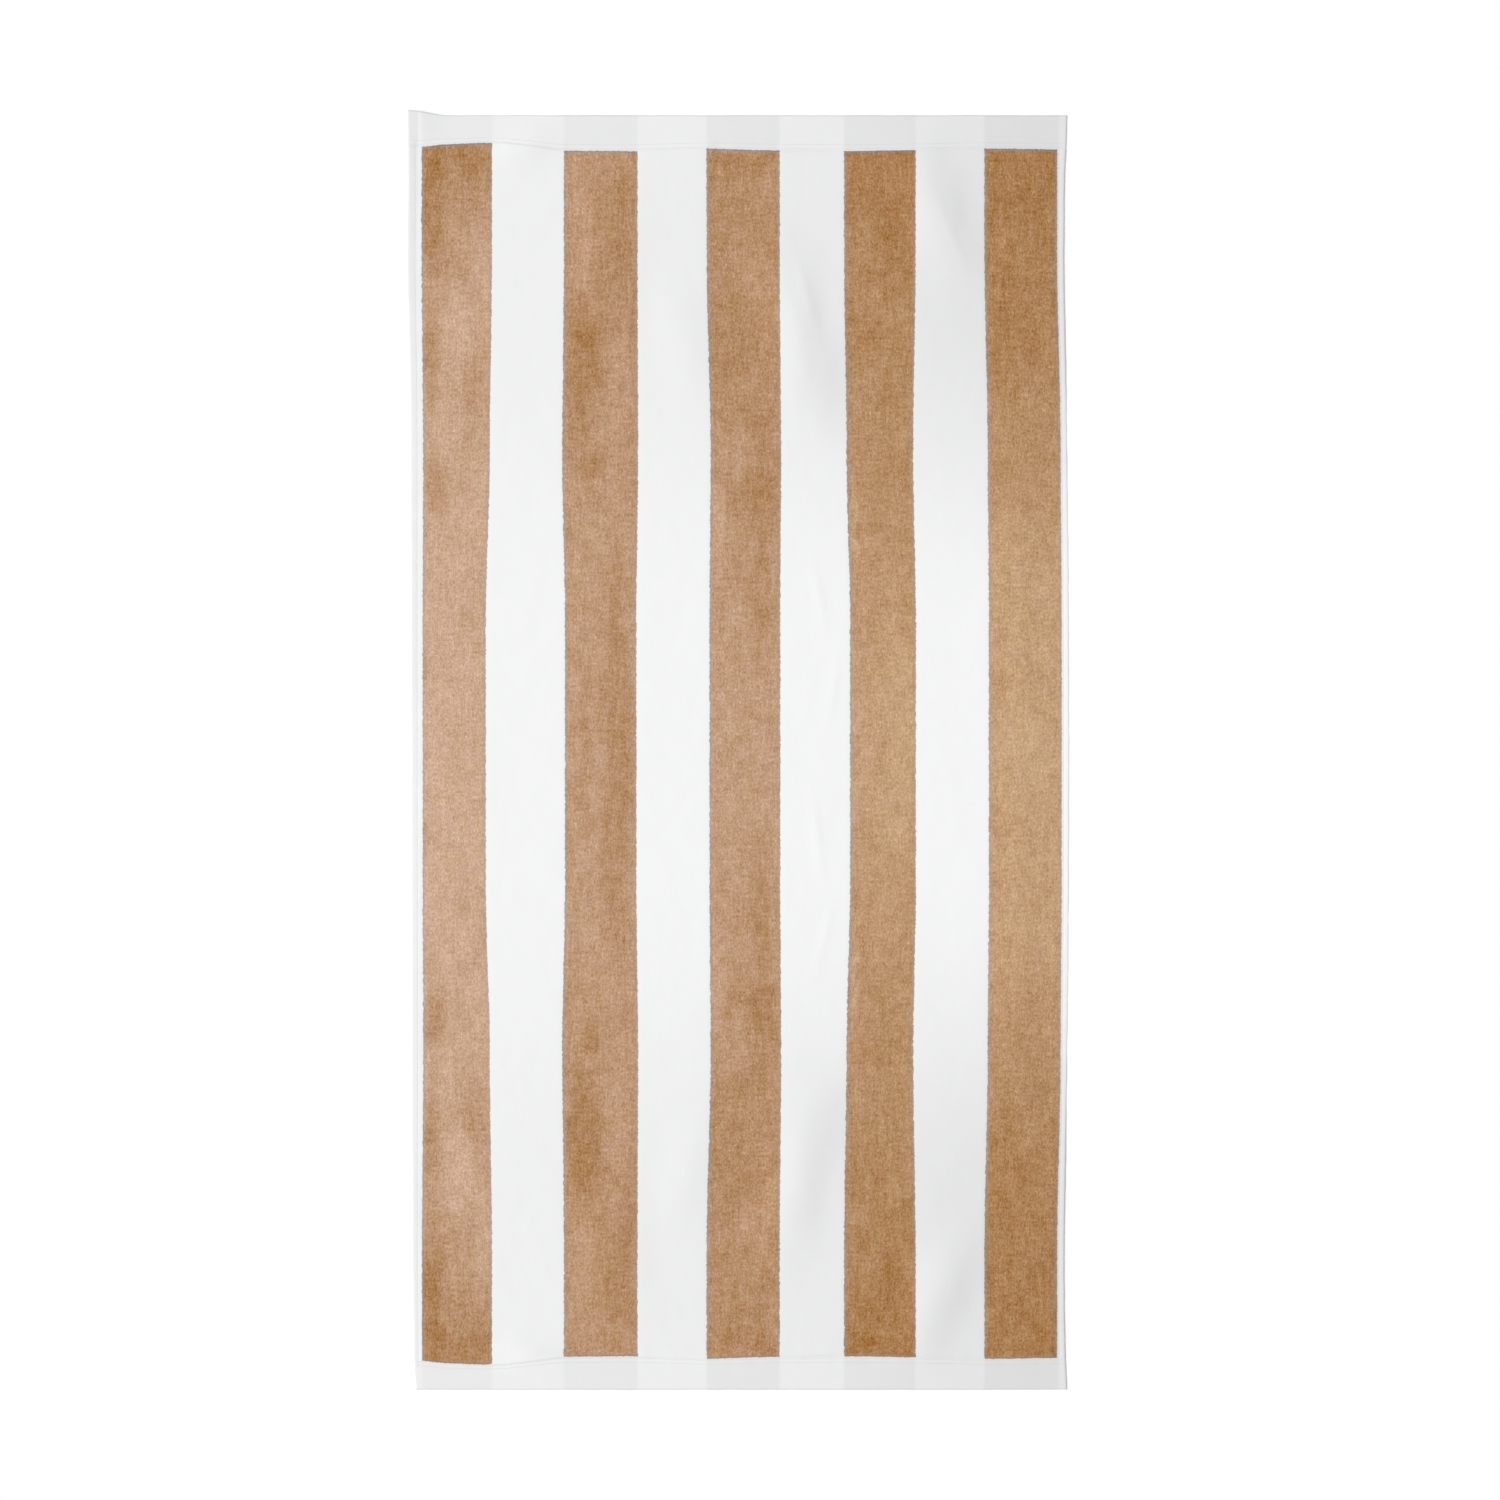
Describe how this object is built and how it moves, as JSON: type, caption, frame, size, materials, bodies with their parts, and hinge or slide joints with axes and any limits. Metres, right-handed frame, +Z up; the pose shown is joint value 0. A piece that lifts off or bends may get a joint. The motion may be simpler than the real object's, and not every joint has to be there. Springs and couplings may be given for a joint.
{
  "type": "beach towel",
  "caption": "Striped velour beach towel with flat-woven ends and turned side hems, spread flat with soft ridges where the cloth stands off the surface.",
  "frame": {"origin": "on the surface the towel lies on, in the middle of its outline", "axes": "+X across the towel, +Y along it towards the end with the drawn-out corner, +Z up from the surface"},
  "size_m": [0.8182, 1.5816, 0.0082],
  "materials": {
    "towel_cloth": "white cotton velour with broad tan stripes, and a matt flat weave in the hems"
  },
  "bodies": {
    "root": {"towel": "towel_cloth"}
  },
  "joints": []
}
